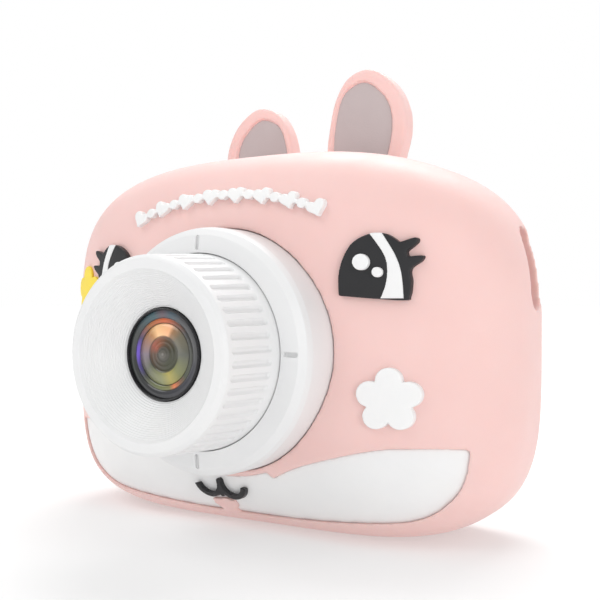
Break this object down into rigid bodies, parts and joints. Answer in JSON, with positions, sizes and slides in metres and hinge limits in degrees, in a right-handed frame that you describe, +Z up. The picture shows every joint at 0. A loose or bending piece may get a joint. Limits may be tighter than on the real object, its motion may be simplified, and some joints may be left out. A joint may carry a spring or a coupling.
{
  "type": "kids digital camera",
  "caption": "Chunky pocket camera for children in a soft rabbit sleeve, with a turning lens ring, back keys, a screen, a card slot and strap slots.",
  "frame": {"origin": "centre of the bounding box's base, on the flat underside of the sleeve", "axes": "the lens looks along -Y, +X is to the right of someone facing the lens, +Z is up"},
  "size_m": [0.088, 0.0502, 0.0792],
  "materials": {
    "pink_silicone": "matt moulded silicone",
    "pink_case_plastic": "fine-grained moulded ABS",
    "white_plastic": "satin white moulded plastic",
    "charcoal_rubber": "matt charcoal soft print",
    "black_plastic": "black moulded plastic",
    "grey_ear_inlay": "matt warm grey",
    "yellow_rubber": "matt yellow silicone",
    "steel": "plain plated steel",
    "board_green": "solder-masked circuit board",
    "foil": "dull foil",
    "dark_glass": "clear window over a dark lens"
  },
  "bodies": {
    "camera_body": {"silicone_sleeve": "pink_silicone", "ear_right": "pink_silicone", "ear_left": "pink_silicone", "front_shell": "pink_case_plastic", "rear_shell": "pink_case_plastic", "bib": "white_plastic", "mouth": "charcoal_rubber", "garland": "white_plastic", "cheek_flower": "white_plastic", "yellow_flower": "yellow_rubber", "eye_right": "charcoal_rubber", "eye_left": "charcoal_rubber", "eye_white_right": "white_plastic", "eye_white_left": "white_plastic", "eye_glint_large_right": "white_plastic", "eye_glint_large_left": "white_plastic", "eye_glint_small_right": "white_plastic", "eye_glint_small_left": "white_plastic", "ear_inlay_right": "grey_ear_inlay", "ear_inlay_left": "grey_ear_inlay", "lens_flange": "white_plastic", "lens_bezel": "black_plastic", "lens_window": "dark_glass", "lens_barrel": "black_plastic", "front_lens_element": "dark_glass", "rear_lens_element": "dark_glass", "image_sensor": "foil", "sensor_board": "board_green", "main_board": "board_green", "battery": "foil", "speaker": "black_plastic", "microphone": "foil", "lcd_module": "black_plastic", "display_window": "dark_glass", "self_view_module": "black_plastic", "self_view_window": "dark_glass", "key_board": "board_green", "card_socket": "steel", "usb_socket": "steel", "case_screw_1": "steel", "case_screw_2": "steel", "case_screw_3": "steel", "case_screw_4": "steel", "strap_pin_left": "steel", "strap_pin_right": "steel", "shutter_switch": "black_plastic", "power_switch": "black_plastic"},
    "focus_ring": {"focus_ring": "white_plastic"},
    "memory_card": {"memory_card": "black_plastic"},
    "shutter_button": {"shutter_button": "white_plastic"},
    "power_button": {"power_button": "white_plastic"},
    "ok_button": {"ok_button": "white_plastic"},
    "up_button": {"up_button": "white_plastic"},
    "down_button": {"down_button": "white_plastic"},
    "left_button": {"left_button": "white_plastic"},
    "right_button": {"right_button": "white_plastic"},
    "menu_button": {"menu_button": "white_plastic"},
    "play_button": {"play_button": "white_plastic"}
  },
  "joints": [
    {"name": "focus_ring_turn", "type": "hinge", "parent": "camera_body", "child": "focus_ring", "pos_m": [0, -0.0186, 0.0296], "axis": [0, 1, 0], "continuous": true},
    {"name": "memory_card_slide", "type": "slide", "parent": "camera_body", "child": "memory_card", "axis": [-1, 0, 0], "range_m": [0, 0.012]},
    {"name": "shutter_press", "type": "slide", "parent": "camera_body", "child": "shutter_button", "axis": [0.2047, 0, -0.9788], "range_m": [0, 0.0005], "stiffness_N_per_m": 2500, "springref_m": -0.0001},
    {"name": "power_press", "type": "slide", "parent": "camera_body", "child": "power_button", "axis": [-0.2047, 0, -0.9788], "range_m": [0, 0.0005], "stiffness_N_per_m": 2500, "springref_m": -0.0001},
    {"name": "ok_press", "type": "slide", "parent": "camera_body", "child": "ok_button", "axis": [0, -1, 0], "range_m": [0, 0.0005], "stiffness_N_per_m": 2000, "springref_m": -0.0001},
    {"name": "up_press", "type": "slide", "parent": "camera_body", "child": "up_button", "axis": [0, -1, 0], "range_m": [0, 0.0005], "stiffness_N_per_m": 2000, "springref_m": -0.0001},
    {"name": "down_press", "type": "slide", "parent": "camera_body", "child": "down_button", "axis": [0, -1, 0], "range_m": [0, 0.0005], "stiffness_N_per_m": 2000, "springref_m": -0.0001},
    {"name": "left_press", "type": "slide", "parent": "camera_body", "child": "left_button", "axis": [0, -1, 0], "range_m": [0, 0.0005], "stiffness_N_per_m": 2000, "springref_m": -0.0001},
    {"name": "right_press", "type": "slide", "parent": "camera_body", "child": "right_button", "axis": [0, -1, 0], "range_m": [0, 0.0005], "stiffness_N_per_m": 2000, "springref_m": -0.0001},
    {"name": "menu_press", "type": "slide", "parent": "camera_body", "child": "menu_button", "axis": [0, -1, 0], "range_m": [0, 0.0005], "stiffness_N_per_m": 2000, "springref_m": -0.0001},
    {"name": "play_press", "type": "slide", "parent": "camera_body", "child": "play_button", "axis": [0, -1, 0], "range_m": [0, 0.0005], "stiffness_N_per_m": 2000, "springref_m": -0.0001}
  ]
}
